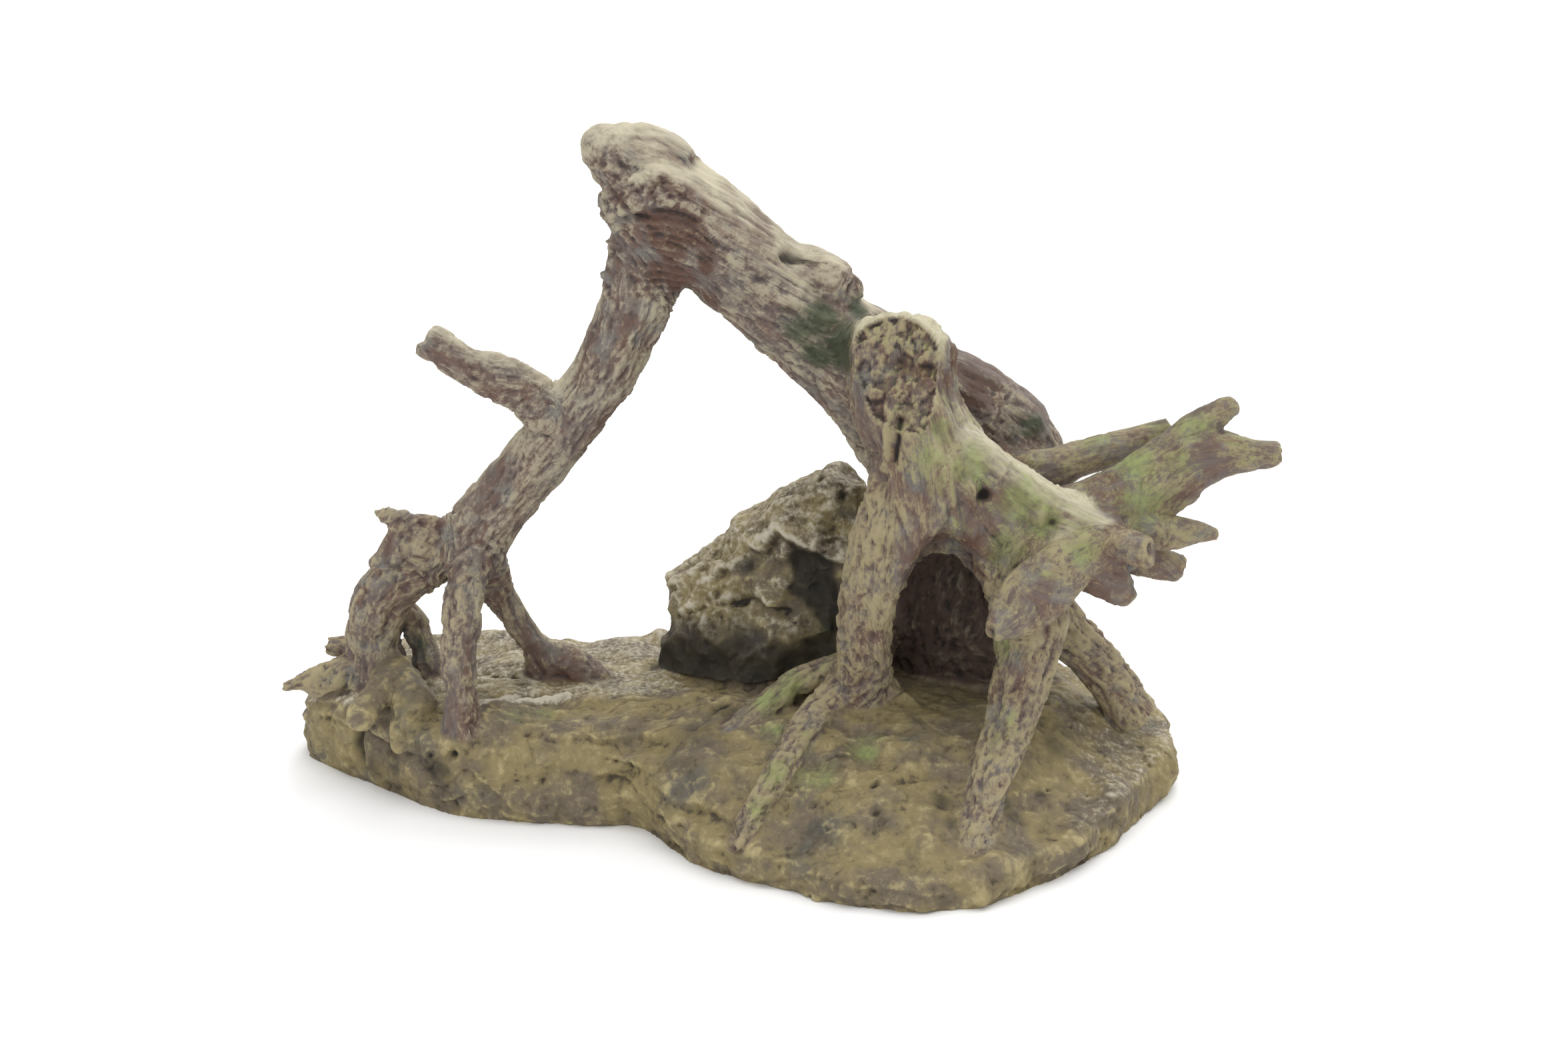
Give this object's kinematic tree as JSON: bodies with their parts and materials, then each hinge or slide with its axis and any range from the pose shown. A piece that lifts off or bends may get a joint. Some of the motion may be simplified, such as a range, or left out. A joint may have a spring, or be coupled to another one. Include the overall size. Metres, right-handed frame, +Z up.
{
  "type": "aquarium cave ornament",
  "caption": "Painted resin aquarium ornament: a driftwood arch and hollow root stump with antler-like branches on a rock ledge, with a cave to swim through.",
  "frame": {"origin": "on the flat underside of the rock ledge, below the middle of the ornament", "axes": "+X to the right along the ledge seen from the front, +Y to the back, +Z up"},
  "size_m": [0.3017, 0.1509, 0.2088],
  "materials": {
    "ledge_rock": "matt ochre paint with dark washes on filled polyester resin",
    "boulder_rock": "matt ochre paint over a near-black base coat",
    "driftwood": "matt mauve-brown paint, dry-brushed with tan",
    "mossy_wood": "matt brown paint misted with moss green"
  },
  "bodies": {
    "root": {"rock_base": "ledge_rock", "boulder": "boulder_rock", "main_log": "driftwood", "left_limb": "driftwood", "side_stub": "driftwood", "bark_spur": "driftwood", "outer_foot": "driftwood", "front_foot": "driftwood", "inner_foot": "driftwood", "rear_foot": "driftwood", "thorn_root": "driftwood", "claw_root": "driftwood", "stump": "mossy_wood", "arch_leg_left": "driftwood", "arch_leg_right": "mossy_wood", "arch_leg_rear": "driftwood", "creeping_root": "mossy_wood", "club_root": "driftwood", "antler_rear": "mossy_wood", "antler_long": "mossy_wood", "antler_upper": "mossy_wood", "antler_low": "mossy_wood", "antler_ring": "driftwood", "antler_ragged": "driftwood"}
  },
  "joints": []
}
